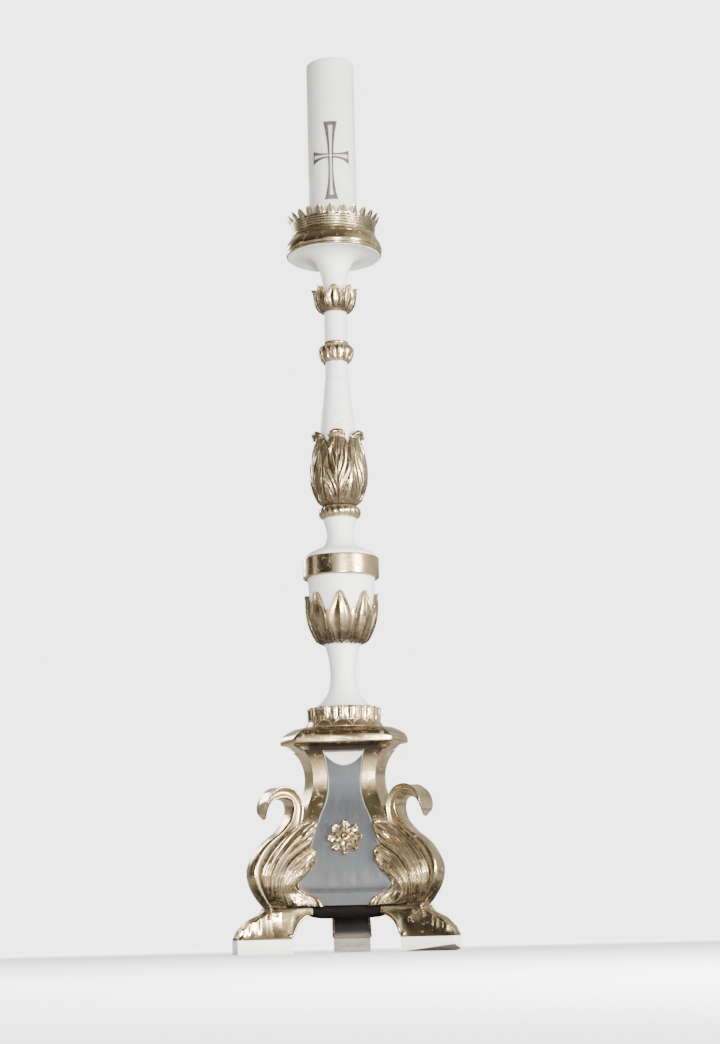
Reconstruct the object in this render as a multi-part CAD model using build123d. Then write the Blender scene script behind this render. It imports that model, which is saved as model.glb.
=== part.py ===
"""Altar candlestick: turned white-and-gilt shaft on a three-sided pedestal with scroll legs and paw feet.

Frame: millimetres, +Z up along the shaft's axis, origin on that axis in the plane the feet stand on.
The front panel faces -Y; the three legs point to 210 (left), 330 (right) and 90 (rear) degrees.
Each function below makes one piece of the bench assembly, already in its place.
"""
from build123d import *
from math import cos, pi, radians, sin
import os

# ---- driving dimensions (mm) -------------------------------------------------
PLINTH_TOP = 19.0            # plinth blocks stand from 0 to here
BLOCK_BOTTOM = 46.0          # underside of the block that ties the feet together
BOARD_BOTTOM = 62.5          # floor board of the pedestal
BOARD_TOP = 79.0
CORE_TOP = 272.0             # underside of the cornice
CORNICE_TOP = 304.0
COLLAR_TOP = 334.0
STEM_LOWER_TOP = 421.5
VASE_TOP = 517.5
BAND_TOP = 546.0
NECK_TOP = 603.5
BEAD_RING_TOP = 621.0
BULB_TOP = 726.0
SHAFT_JOINT = 808.0
SHAFT_TOP = 835.0
LEAF_RING_TOP = 863.5
STEM_UPPER_TOP = 908.0
TRUMPET_TOP = 997.5
PAN_TOP = 1021.0
SPIKE_TIP = 1086.0
GALLERY_BAND_TOP = 1041.0
GALLERY_TIP = 1053.0
CANDLE_TOP = 1290.0

CANDLE_RADIUS = 35.0
PAN_RADIUS = 70.0
TRAY_THICKNESS = 1.2
GALLERY_SHEET = 1.2
GALLERY_LEAVES = 24

CORNER_RATIO = 1.415         # pedestal plan: distance to a cut corner over distance to a long side
STILE_DEPTH = 4.0            # gilded corner stiles stand this far out of the core
PANEL_DEPTH = 2.0            # painted panels stand this far out of the core
LEAF_RELIEF = 5.0            # how far the legs' leaves stand above the stiles

FOOT_INNER = 66.5            # radial places along a leg
FOOT_HEEL = 98.0
FOOT_TOE = 171.0
FOOT_HALF_WIDTH = 26.0
TOE_HALF_WIDTH = 9.0
HOOK_HALF_WIDTH = 17.5

LEG_ANGLES = {"left": 210.0, "right": 330.0, "rear": 90.0}
SIDE_ANGLES = {"front": 270.0, "left": 150.0, "right": 30.0}
FAR = 260.0                  # larger than any plan dimension of the pedestal

# Distance from the axis to a long side's outer face, up the pedestal: (distance, height)
SIDE_PROFILE = [(69.5, 79), (71.5, 86), (72, 95), (70, 115), (65, 140), (58.5, 163), (52, 184),
                (46.5, 200), (42, 216), (40, 232), (42, 252), (46, 264), (51, 272)]
# Half width of the panel opening: (half width, height)
PANEL_EDGE = [(50, 79), (60, 86), (63, 93), (59, 106), (50, 132), (42, 160), (35, 182), (28, 199),
              (24, 216), (23.5, 232), (25.5, 252), (29, 272)]
# Inner edge of the carved leaf on a long side: (half width from the side's middle, height)
LEAF_EDGE = [(33, 62.5), (46, 71), (61, 86), (60, 96), (51, 106), (41, 120), (40, 138), (42, 152), (39, 165),
             (42, 177)]
# Outer spine of a leg: (distance from the axis, height)
LEG_SPINE = [(124.5, 62.5), (132.5, 71), (142.5, 86), (146, 96), (147.2, 106), (144.5, 120), (134, 138), (121, 152),
             (106, 165), (96, 177)]
# Outline of a leg's neck and hook in its radial plane, back then inside
HOOK_BACK = [(84, 156), (77.5, 170), (75, 181.5), (74.5, 194), (77.5, 206.5), (88, 219), (105, 222.8),
             (118.5, 216.3), (126, 206.5), (129, 196), (129, 180)]
HOOK_INSIDE = [(127.5, 180), (125.5, 195), (120, 203), (106, 207), (93, 205.5), (88, 195), (89.5, 184),
               (94.5, 174), (106, 161.5)]


# ---- small builders ----------------------------------------------------------
def run_of(points):
    """A straight edge through two points, or a smooth one through more, in the XZ plane."""
    places = [Vector(r, 0, z) for r, z in points]
    return Line(*places) if len(places) == 2 else Spline(*places)


def closed_face(runs):
    """Face bounded by runs of (r, z) points; each run starts where the last one ended."""
    edges, start = [], runs[0][0]
    for run in runs:
        if edges:
            run = [last] + run
        edges.append(run_of(run))
        last = run[-1]
    if last != start:
        edges.append(run_of([last, start]))
    return make_face(Wire(edges))


def turned(*runs):
    """Solid of revolution about Z; smooth within a run, with a corner between runs."""
    bottom, top = runs[0][0][1], runs[-1][-1][1]
    return revolve(closed_face([*runs, [(0, top)], [(0, bottom)]]), Axis.Z)


def rod(radius, low, high):
    """Round tenon or bore on the axis, between two heights."""
    return Pos(0, 0, low) * Cylinder(radius, high - low, align=(Align.CENTER, Align.CENTER, Align.MIN))


def slab_behind(profile, angle, scale=1.0, offset=0.0):
    """Everything behind the face that the profile makes when it is drawn along the side at this angle."""
    face_line = [(r * scale + offset, z) for r, z in profile]
    low, high = face_line[0][1], face_line[-1][1]
    face = closed_face([face_line, [(-FAR, high)], [(-FAR, low)]])
    slab = extrude(face, FAR, dir=(0, 1, 0), both=True)
    return Rot(0, 0, angle) * slab


def three_sided(profile, offset=0.0):
    """Three-sided body with cut corners whose long sides follow the profile."""
    body = slab_behind(profile, 270, 1.0, offset)
    for angle in (30, 150):
        body &= slab_behind(profile, angle, 1.0, offset)
    for angle in LEG_ANGLES.values():
        body &= slab_behind(profile, angle, CORNER_RATIO, offset * CORNER_RATIO)
    return body.solids()[0]


def radial(shape, angle):
    """Turns a piece made along +X to the leg or side at this angle."""
    return Rot(0, 0, angle) * shape


def radial_plate(runs, half_width):
    """Plate standing in the XZ plane, this wide each way along Y."""
    return extrude(closed_face(runs), half_width, dir=(0, 1, 0), both=True)


# ---- pedestal ----------------------------------------------------------------
def foot_plan(low, high):
    """Wedge-shaped plan of a foot and its plinth, narrow at the toe."""
    outline = Polyline((FOOT_INNER, -FOOT_HALF_WIDTH), (FOOT_HEEL, -FOOT_HALF_WIDTH), (FOOT_TOE, -TOE_HALF_WIDTH),
                       (FOOT_TOE, TOE_HALF_WIDTH), (FOOT_HEEL, FOOT_HALF_WIDTH), (FOOT_INNER, FOOT_HALF_WIDTH),
                       close=True)
    return Pos(0, 0, low) * extrude(make_face(outline), high - low)


def plinth():
    """Flat block under a foot."""
    return foot_plan(0, PLINTH_TOP) & Pos(FOOT_HEEL, 0, 0) * Box(
        FAR, FAR, PLINTH_TOP, align=(Align.MIN, Align.CENTER, Align.MIN))


def planed_plinth():
    """The right-hand block, planed away underneath towards its outer front corner."""
    rise = 9.0
    block = plinth()
    heel = (FOOT_HEEL, -FOOT_HALF_WIDTH)
    toe = (FOOT_TOE + 1.0, -TOE_HALF_WIDTH - 1.0)
    back = (FOOT_TOE + 1.0, TOE_HALF_WIDTH + 8.0)
    front = (FOOT_TOE + 1.0, -FOOT_HALF_WIDTH)
    corner = [Vector(*heel, 0), Vector(*front, 0), Vector(*back, 0)]
    apex = Vector(front[0], front[1], rise * (front[1] - back[1]) / (toe[1] - back[1]))
    wedge = Solid(Shell([Face(Wire.make_polygon(face)) for face in (
        corner, [corner[0], corner[1], apex], [corner[1], corner[2], apex], [corner[2], corner[0], apex])]))
    return block - wedge


def foot():
    """Paw foot: flat under the leg, sloping to the toe, with an arch cut from the inner side."""
    side = radial_plate([
        [(FOOT_INNER, 52), (FOOT_INNER, BOARD_BOTTOM)], [(126, BOARD_BOTTOM)],
        [(123, 55), (129, 46.5), (143, 37), (156, 29.5), (165, 24), (FOOT_TOE - 2, PLINTH_TOP)],
        [(FOOT_HEEL, PLINTH_TOP)], [(95, 27), (90, 39), (80, 47.5), (FOOT_INNER, 52)]], FAR)
    return side & foot_plan(PLINTH_TOP, BOARD_BOTTOM)


def dowel():
    """Birch dowel from a foot up into its leg."""
    return Pos(112, 0, 34) * Cylinder(4, 52, align=(Align.CENTER, Align.CENTER, Align.MIN))


def leg_section(height, leaf_half_width, spine, side_distance):
    """Level section of a leg: leaf edge on one long side, round the spine, leaf edge on the other."""
    lean = radians(30)           # a long side's normal is this far from the leg's tangent
    out = side_distance + LEAF_RELIEF
    leaf = (leaf_half_width * cos(lean) + out * sin(lean), out * cos(lean) - leaf_half_width * sin(lean))
    corner = (side_distance * CORNER_RATIO, side_distance * 0.338)
    swell = (corner[0] + 0.42 * (spine - corner[0]), corner[1] + 4.5)
    brow = (corner[0] + 0.8 * (spine - corner[0]), 0.62 * (corner[1] + 4.5))
    side = [leaf, (corner[0] + 1.5, corner[1] + 6.5), swell, brow, (spine, 0)]
    loop = side + [(u, -v) for u, v in reversed(side[:-1])]
    curve = Spline(*[Vector(u, v, height) for u, v in loop])
    return make_face(Wire([curve, Line(curve @ 1, curve @ 0)]))


def distance_at(height):
    """Distance of the long side's outer face at a height, read between the profile's points."""
    points = SIDE_PROFILE
    if height <= points[0][1]:
        return points[0][0]
    for (r0, z0), (r1, z1) in zip(points, points[1:]):
        if height <= z1:
            return r0 + (r1 - r0) * (height - z0) / (z1 - z0)
    return points[-1][0]


def leg(outer_body, floor_board):
    """Scroll leg: swelling body with leaves wrapped round the corner, neck and outward hook."""
    sections = [leg_section(z, half, spine, distance_at(z)) for (half, z), (spine, _) in zip(LEAF_EDGE, LEG_SPINE)]
    body = loft(sections)
    hook = radial_plate([HOOK_BACK, HOOK_INSIDE[:1], HOOK_INSIDE[1:]], HOOK_HALF_WIDTH)
    both = radial(body + hook, LEG_ANGLES["left"]) - outer_body - floor_board
    whole = max(both.solids(), key=lambda s: s.volume)
    return radial(whole, -LEG_ANGLES["left"]) - dowel()


def base_block():
    """Block that ties the three feet together under the floor board."""
    side = FOOT_INNER / CORNER_RATIO
    return three_sided([(side, BLOCK_BOTTOM), (side, BOARD_BOTTOM)])


def floor_board():
    """Bottom board of the pedestal; its front edge shows under each panel."""
    return three_sided([(68, BOARD_BOTTOM), (69.5, BOARD_TOP)])


def panel_opening(angle):
    """Prism through a long side, as wide as the panel at every height."""
    edge = PANEL_EDGE
    mirrored = [(-h, z) for h, z in reversed(edge)]
    face = closed_face([edge, mirrored[:1], mirrored[1:]])
    return Rot(0, 0, angle + 90) * extrude(face, FAR, dir=(0, -1, 0))


def rosette(angle, panel_body):
    """Eight-petalled boss on a panel, square to the panel's slope."""
    petals, radius, depth, height, slope = 8, 24.0, 9.0, 152.0, 15.0
    boss = Cylinder(0.5 * radius, depth + 6, align=(Align.CENTER, Align.CENTER, Align.MIN))
    for k in range(petals):
        petal = Pos(0.62 * radius, 0, 0) * Cylinder(
            0.34 * radius, depth + 3, align=(Align.CENTER, Align.CENTER, Align.MIN))
        boss += Rot(0, 0, 360 / petals * k) * petal
    standing = Pos(distance_at(height) - 8, 0, height) * Rot(0, 90 - slope, 0) * boss
    return (radial(standing, angle) - panel_body).solids().sort_by(SortBy.VOLUME)[-1]


def rosette_pin(angle):
    """Nail that holds a rosette to its panel and the core."""
    height, slope = 152.0, 15.0
    pin = Cylinder(1.0, 24, align=(Align.CENTER, Align.CENTER, Align.MAX))
    return radial(Pos(distance_at(height) + 1, 0, height) * Rot(0, 90 - slope, 0) * pin, angle)


def cornice():
    """Three-sided moulded slab: cove below, rounded moulding above."""
    profile = three_sided([(52, CORE_TOP), (54, 276), (62, 279.5)])
    moulding = three_sided([(63.5, 279.5), (63.6, 284), (61, 291), (56.5, 297.5), (50, CORNICE_TOP)])
    return profile + moulding - rod(15, CORE_TOP, CORNICE_TOP)


# ---- turned shaft ------------------------------------------------------------
def collar():
    """Round collar with a leaf frieze, on a flared foot."""
    return turned([(55, CORNICE_TOP), (54.5, 307), (52, 313)], [(52, 331)], [(50, COLLAR_TOP)]) - rod(
        15, CORNICE_TOP, COLLAR_TOP)


def stem_lower():
    """White baluster with long tenons through collar and cornice."""
    body = turned([(42, COLLAR_TOP), (32.5, 341), (22, 356), (18, 375), (18, 392), (21, 411),
                   (24, STEM_LOWER_TOP)])
    return body + rod(15, 242, COLLAR_TOP) + rod(11, STEM_LOWER_TOP, 450)


VASE_CURVE = [(24, STEM_LOWER_TOP), (30, 426), (37.5, 440), (42, 454), (44.5, 470), (45.5, 490), (47.5, VASE_TOP)]


def vase():
    """White vase under the gilt band."""
    return turned(VASE_CURVE) - rod(11, STEM_LOWER_TOP, 450) - rod(15, 500, VASE_TOP)


def vase_leaf_cup():
    """Calyx of leaves round the lower vase."""
    shell = turned([(24, STEM_LOWER_TOP), (33.5, 427), (41.5, 442), (46.5, 458), (48.7, 474), (49.5, 490)], [(42, 494)])
    return shell - turned(VASE_CURVE)


def vase_band():
    """Gilt drum on the vase."""
    return turned([(52.8, VASE_TOP), (53.8, 519)], [(53.8, 544.5)], [(52.8, BAND_TOP)]) - rod(
        15, VASE_TOP, BAND_TOP)


def neck():
    """White shoulder and neck."""
    body = turned([(50, BAND_TOP), (44, 554), (33.5, 558.5)], [(24.5, 563), (19.5, 572), (19, 584.5), (23.5, NECK_TOP)])
    return body + rod(15, 500, BAND_TOP) + rod(10, NECK_TOP, 650)


def bead_ring():
    """Gilt ring of beads under the bulb."""
    return turned([(23.5, NECK_TOP), (29, 606), (30.5, 612), (28.5, 618), (23, BEAD_RING_TOP)]) - rod(
        10, NECK_TOP, BEAD_RING_TOP)


BULB_CURVE = [(23, BEAD_RING_TOP), (28.5, 627), (37.5, 646), (40.6, 669), (37.5, 700), (32.5, BULB_TOP)]
SHAFT_CURVE = [(25.6, BULB_TOP), (22.5, 756), (19.6, 779), (16.8, SHAFT_JOINT)]


def bulb():
    """Bulb wrapped in tall leaves, bored for both tenons."""
    return turned(BULB_CURVE) - rod(10, BEAD_RING_TOP, 650) - rod(12, 690, BULB_TOP)


def shaft_lower():
    """Tapered white shaft that rises out of the bulb."""
    return turned(SHAFT_CURVE) + rod(12, 690, BULB_TOP) - rod(8, 780, SHAFT_JOINT)


def shaft_upper():
    """Short white length between the shaft's joint and the leaf ring."""
    return turned([(16.4, SHAFT_JOINT), (15.6, SHAFT_TOP)]) + rod(8, 780, SHAFT_JOINT) + rod(8, SHAFT_TOP, 874)


def leaf_ring():
    """Small ring of leaves on the upper shaft."""
    return turned([(17.5, SHAFT_TOP), (22.5, 839), (25, 849), (22, 857)], [(18.5, 860), (18, LEAF_RING_TOP)]) - rod(
        8, SHAFT_TOP, LEAF_RING_TOP)


def stem_upper():
    """White cylinder between the leaf ring and the small calyx."""
    return turned([(16.3, LEAF_RING_TOP), (16.3, STEM_UPPER_TOP)]) - rod(8, LEAF_RING_TOP, 874) - rod(
        8, 888, STEM_UPPER_TOP)


TRUMPET_CURVE = [(16.3, STEM_UPPER_TOP), (16.4, 935), (18.2, 959), (22, 973), (27, 985), (34, 993), (45, TRUMPET_TOP)]


def trumpet():
    """White trumpet that carries the drip pan."""
    bore = rod(4.5, 960, TRUMPET_TOP + 12)
    return turned(TRUMPET_CURVE) + rod(8, 888, STEM_UPPER_TOP) + rod(18, TRUMPET_TOP, 1009) - bore


def calyx():
    """Small calyx of leaves round the trumpet's foot."""
    shell = turned([(17.5, STEM_UPPER_TOP), (24, 912), (28.9, 924), (31, 935), (31.5, 943)], [(26, 945)])
    return shell - turned(TRUMPET_CURVE)


# ---- candle end --------------------------------------------------------------
def pan():
    """Gilt drip pan of turned wood with a coved underside."""
    body = turned([(45, TRUMPET_TOP), (56, 996.5), (66.5, 993)], [(69, 994.5), (PAN_RADIUS, 999), (68.6, 1007), (65, 1015)],
                  [(61.5, 1018), (61.5, PAN_TOP)])
    return body - rod(18, TRUMPET_TOP, 1009) - rod(4.5, 1009, PAN_TOP) - rod(15, 1017, PAN_TOP)


def spike():
    """Forged iron pricket with a flange let into the pan."""
    return turned([(4.5, 962), (4.5, 1017)], [(15, 1017)], [(15, PAN_TOP)], [(4.5, PAN_TOP)], [(4.5, 1030)],
                  [(0.4, SPIKE_TIP)])


def gallery_tray():
    """Sheet-brass tray that carries the gallery and catches wax."""
    return rod(59, PAN_TOP, PAN_TOP + TRAY_THICKNESS) - rod(7, PAN_TOP, PAN_TOP + TRAY_THICKNESS)


def gallery_ring():
    """Sheet-brass gallery: beaded band with a row of leaf points bent outwards."""
    sheet = GALLERY_SHEET
    band = revolve(closed_face([[(59, PAN_TOP), (60, PAN_TOP)], [(61, GALLERY_BAND_TOP)], [(66, GALLERY_TIP)],
                                [(66 - sheet, GALLERY_TIP)], [(61 - sheet, GALLERY_BAND_TOP)],
                                [(59, PAN_TOP + TRAY_THICKNESS)]]), Axis.Z)
    for height in (1024.5, 1028.5, 1032.5):
        band += Pos(0, 0, height) * Torus(60.3, 1.2)
    pitch = 2 * pi * 66 / GALLERY_LEAVES
    notch_face = make_face(Polyline((0, GALLERY_BAND_TOP + 1), (0.5 * pitch, GALLERY_TIP + 1),
                                    (-0.5 * pitch, GALLERY_TIP + 1), close=True))
    notch_face = Plane.XZ * notch_face
    notch = Pos(0, -50, 0) * extrude(notch_face, 25, dir=(0, -1, 0))
    for k in range(GALLERY_LEAVES):
        band -= Rot(0, 0, 360 / GALLERY_LEAVES * (k + 0.5)) * notch
    return band


def candle():
    """Altar candle with a tapered socket for the spike."""
    foot_level = PAN_TOP + TRAY_THICKNESS
    body = turned([(34, foot_level), (CANDLE_RADIUS, foot_level + 1)], [(CANDLE_RADIUS, CANDLE_TOP - 3)],
                  [(CANDLE_RADIUS - 0.8, CANDLE_TOP - 0.8), (CANDLE_RADIUS - 3, CANDLE_TOP)])
    socket = turned([(5.2, foot_level), (5.2, 1030.5)], [(1.2, SPIKE_TIP + 4)])
    return body - socket - rod(1.5, CANDLE_TOP - 20, CANDLE_TOP)


def wick():
    """Braided wick."""
    return rod(1.5, CANDLE_TOP - 20, CANDLE_TOP + 9)


def candle_cross():
    """Plain flared cross of coloured wax laid on the candle's front."""
    middle, relief = 1129.0, 1.2
    half_post, half_arm, low, high = 3.5, 28.5, 1070.0, 1190.0
    post = Polyline((-half_post, middle), (-3 * half_post, low), (3 * half_post, low), (half_post, middle),
                    (2.6 * half_post, high), (-2.6 * half_post, high), close=True)
    arm_level = middle + 8
    arms = Polyline((-half_arm, arm_level - 11), (0, arm_level - half_post), (half_arm, arm_level - 11),
                    (half_arm, arm_level + 11), (0, arm_level + half_post), (-half_arm, arm_level + 11), close=True)
    shape = make_face(post) + make_face(arms)
    prism = Plane.XZ * shape
    ring = rod(CANDLE_RADIUS + relief, low - 5, high + 5) - rod(CANDLE_RADIUS, low - 5, high + 5)
    cross = ring & extrude(prism, FAR, dir=(0, -1, 0))
    return cross.solids().sort_by(SortBy.VOLUME)[-1]


# ---- assembly ----------------------------------------------------------------
def pieces():
    """Every node's name with its solid, or with its group of identical solids."""
    made = {}
    outer_body = three_sided(SIDE_PROFILE)
    core_body = three_sided(SIDE_PROFILE, -STILE_DEPTH)
    panel_body = three_sided(SIDE_PROFILE, PANEL_DEPTH - STILE_DEPTH)
    openings = {side: panel_opening(angle) for side, angle in SIDE_ANGLES.items()}
    pins = {side: rosette_pin(angle) for side, angle in SIDE_ANGLES.items()}
    board = floor_board()

    one_leg, one_foot, one_dowel = leg(outer_body, board), foot() - dowel(), dowel()
    for name, angle in LEG_ANGLES.items():
        made[f"leg_{name}"] = radial(one_leg, angle)
        made[f"foot_{name}"] = radial(one_foot, angle)
        made[f"plinth_{name}"] = radial(planed_plinth() if name == "right" else plinth(), angle)
    made["foot_dowels"] = [radial(one_dowel, angle) for angle in LEG_ANGLES.values()]
    made["base_block"] = base_block()
    made["floor_board"] = board

    shell = outer_body - core_body
    for opening in openings.values():
        shell -= opening
    for name, angle in LEG_ANGLES.items():
        towards = Vector(cos(radians(angle)), sin(radians(angle)), 0)
        made[f"stile_{name}"] = max(shell.solids(), key=lambda s: s.center().dot(towards))
    skin = panel_body - core_body
    core = core_body - rod(15, 242, CORE_TOP)
    for side, angle in SIDE_ANGLES.items():
        made[f"panel_{side}"] = max((skin & openings[side]).solids(), key=lambda s: s.volume) - pins[side]
        made[f"rosette_{side}"] = rosette(angle, panel_body) - pins[side]
        core -= pins[side]
    made["pedestal_core"] = core
    made["rosette_pins"] = list(pins.values())

    for piece in (cornice, collar, stem_lower, vase, vase_leaf_cup, vase_band, neck, bead_ring, bulb, shaft_lower,
                  shaft_upper, leaf_ring, stem_upper, trumpet, calyx, pan, spike, gallery_tray, gallery_ring, candle,
                  wick, candle_cross):
        made[piece.__name__] = piece()
    return made


def main():
    os.makedirs("parts", exist_ok=True)
    for name, made in pieces().items():
        solids = made if isinstance(made, list) else made.solids()
        whole = solids[0] if len(solids) == 1 else Compound(children=list(solids))
        export_step(whole, f"parts/{name}.step")


main()
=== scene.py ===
import math

import bpy
import numpy as np
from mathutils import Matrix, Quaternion, Vector


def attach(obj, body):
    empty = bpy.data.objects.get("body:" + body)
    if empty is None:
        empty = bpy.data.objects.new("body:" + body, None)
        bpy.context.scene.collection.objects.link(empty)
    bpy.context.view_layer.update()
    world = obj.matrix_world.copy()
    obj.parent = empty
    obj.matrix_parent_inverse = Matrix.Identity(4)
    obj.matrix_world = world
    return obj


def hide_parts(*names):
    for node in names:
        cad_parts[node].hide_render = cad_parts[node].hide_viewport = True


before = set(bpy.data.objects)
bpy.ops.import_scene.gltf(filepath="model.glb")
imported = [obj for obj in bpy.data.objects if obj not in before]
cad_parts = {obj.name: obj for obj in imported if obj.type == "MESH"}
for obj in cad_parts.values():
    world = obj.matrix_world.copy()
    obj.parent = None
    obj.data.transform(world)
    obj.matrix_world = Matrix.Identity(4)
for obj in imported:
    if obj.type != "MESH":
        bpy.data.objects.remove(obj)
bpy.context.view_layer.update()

MM = 0.001
TAU = 2 * math.pi
QUARTER = TAU / 4


# ---- curves
def spline(points, count, closed=False):
    """Centripetal Catmull-Rom curve through the points, evenly sampled in length."""
    p = np.array(points, float)
    q = np.vstack([p[-1:], p, p[:2]] if closed else [2 * p[:1] - p[1:2], p, 2 * p[-1:] - p[-2:-1]])
    gaps = np.maximum(np.linalg.norm(np.diff(q, axis=0), axis=1), 1e-6)
    knots = np.concatenate([[0], np.cumsum(gaps ** 0.5)])
    dense = []
    for i in range(1, len(q) - 2):
        s = np.linspace(knots[i], knots[i + 1], 24, endpoint=False)[:, None]
        level, t = list(q[i - 1:i + 3]), knots[i - 1:i + 3]
        for spans in (((0, 1), (1, 2), (2, 3)), ((0, 2), (1, 3)), ((1, 2),)):
            pairs = zip(level, level[1:], spans)
            level = [a + (b - a) * (s - t[low]) / (t[high] - t[low]) for a, b, (low, high) in pairs]
        dense += level
    return resample(np.vstack(dense + [q[-2:-1]]), count)


def through(points, per):
    """Smooth curve with per samples between each two points, so that two curves can be paired."""
    p = np.array(points, float)
    q = np.vstack([2 * p[:1] - p[1:2], p, 2 * p[-1:] - p[-2:-1]])
    s = (np.arange(per) / per)[:, None]
    out = []
    for a, b, c, d in zip(q, q[1:], q[2:], q[3:]):
        out.append(b + 0.5 * s * (c - a + s * (2 * a - 5 * b + 4 * c - d + s * (3 * (b - c) + d - a))))
    return np.vstack(out + [p[-1:]])


def resample(line, count):
    """The same line with points evenly spaced along it."""
    step = np.linalg.norm(np.diff(line, axis=0), axis=1)
    at = np.concatenate([[0], np.cumsum(step)])
    want = np.linspace(0, at[-1], count)
    return np.stack([np.interp(want, at, line[:, k]) for k in range(line.shape[1])], axis=1)


def runs(*parts, step=0.8):
    """Profile of several smooth runs with corners between them, sampled about every step mm."""
    out, last = [], []
    for part in parts:
        pts = last + list(part)
        last = [part[-1]]
        length = sum(math.dist(a, b) for a, b in zip(pts[:-1], pts[1:]))
        n = max(int(length / step), 2)
        piece = spline(pts, n) if len(pts) > 2 else resample(np.array(pts, float), n)
        out.append(piece[1:] if out else piece)
    return np.vstack(out)


def smooth(x, low, high):
    """0 below low, 1 above high, and a smooth step between."""
    t = np.clip((x - low) / (high - low), 0, 1)
    return t * t * (3 - 2 * t)


def bell(x, centre, width):
    """Smooth hump, 1 at the centre."""
    return np.exp(-((x - centre) / width) ** 2)


def wave(x):
    """Distance from the nearest whole number, scaled to -1 to 1."""
    return 2 * (x - np.floor(x + 0.5))


def turns(count):
    """A column of angles in equal steps round the axis."""
    return (np.arange(count) / count * TAU)[:, None]


def around(radius, angle, z):
    """Points at radii, angles and heights about the shaft's axis."""
    return np.stack(np.broadcast_arrays(radius * np.cos(angle), radius * np.sin(angle), z), axis=-1)


def placed(u, v, z, angle):
    """Points along, across and above a direction from the axis, given in degrees."""
    a = math.radians(angle)
    x, y = u * math.cos(a) - v * math.sin(a), u * math.sin(a) + v * math.cos(a)
    return np.stack(np.broadcast_arrays(x, y, z), axis=-1)


def folded(front, back):
    """A front's columns followed by its back's, last to first, so that they go round a section."""
    return np.concatenate([front, back[:, ::-1]], axis=1)


def first_only(values, surface):
    """A mark on a surface's first points and none on the rest."""
    return np.pad(values.ravel(), (0, len(surface[0]) - values.size))


# ---- meshes
def grid_faces(nu, nv, wrap_u, wrap_v):
    """Quads of an nu by nv grid of points."""
    i = np.arange(nu if wrap_u else nu - 1)[:, None]
    j = np.arange(nv if wrap_v else nv - 1)[None, :]
    i2, j2 = (i + 1) % nu, (j + 1) % nv
    return np.stack([i * nv + j, i2 * nv + j, i2 * nv + j2, i * nv + j2], axis=-1).reshape(-1, 4)


def outward(verts, faces):
    """The faces, turned round if the closed surface has its inside out."""
    a, b, c, d = (verts[faces[:, k]] for k in range(4))
    volume = np.einsum("ij,ij->i", a, np.cross(b, c)) + np.einsum("ij,ij->i", a, np.cross(c, d))
    return faces[:, ::-1] if volume.sum() < 0 else faces


def ring(grid):
    """Points and faces of a grid (round the axis, round the section) closed both ways."""
    pts = grid.reshape(-1, 3)
    return pts, outward(pts, grid_faces(*grid.shape[:2], True, True))


def tube(rings):
    """Points and faces of a closed tube through rings of points."""
    n, k, _ = rings.shape
    pts = rings.reshape(-1, 3)
    plain = grid_faces(n, k, False, True)
    quads = outward(pts, plain)
    first, last = list(range(k)), list(range((n - 1) * k, n * k))
    ends = [first, last[::-1]] if (quads[0] != plain[0]).any() else [first[::-1], last]
    return pts, quads.tolist() + ends


def pillow(front, back):
    """Points and faces of a closed sheet with a front grid and a back grid of the same size."""
    nu, nv, _ = front.shape
    pts = np.vstack([front.reshape(-1, 3), back.reshape(-1, 3)])
    face = grid_faces(nu, nv, False, False)
    off = nu * nv
    idx = np.arange(off).reshape(nu, nv)
    rim = np.concatenate([idx[:-1, 0], idx[-1, :-1], idx[:0:-1, -1], idx[0, :0:-1]])
    after = np.roll(rim, -1)
    wall = np.stack([rim, after, after + off, rim + off], axis=1)
    return pts, outward(pts, np.vstack([face, face[:, ::-1] + off, wall[:, ::-1]]))


def join(parts):
    """One set of points and faces from several."""
    pts, faces, base = [], [], 0
    for p, f in parts:
        pts.append(p)
        faces += [[i + base for i in face] for face in f]
        base += len(p)
    return np.vstack(pts), faces


def make(name, node, surface, material, body="stand", **marks):
    """Piece from points in mm and faces, standing for its CAD node, with marks for its material."""
    verts, faces = surface
    mesh = bpy.data.meshes.new(name)
    mesh.from_pydata((verts * MM).tolist(), [], [list(map(int, face)) for face in faces])
    mesh.validate()
    for mark, values in marks.items():
        layer = mesh.attributes.new(mark, "FLOAT", "POINT")
        layer.data.foreach_set("value", values.astype(np.float32).ravel())
    mesh.shade_smooth()
    mesh.materials.append(material)
    obj = bpy.data.objects.new(name, mesh)
    bpy.context.scene.collection.objects.link(obj)
    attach(obj, body)
    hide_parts(node)


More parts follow.
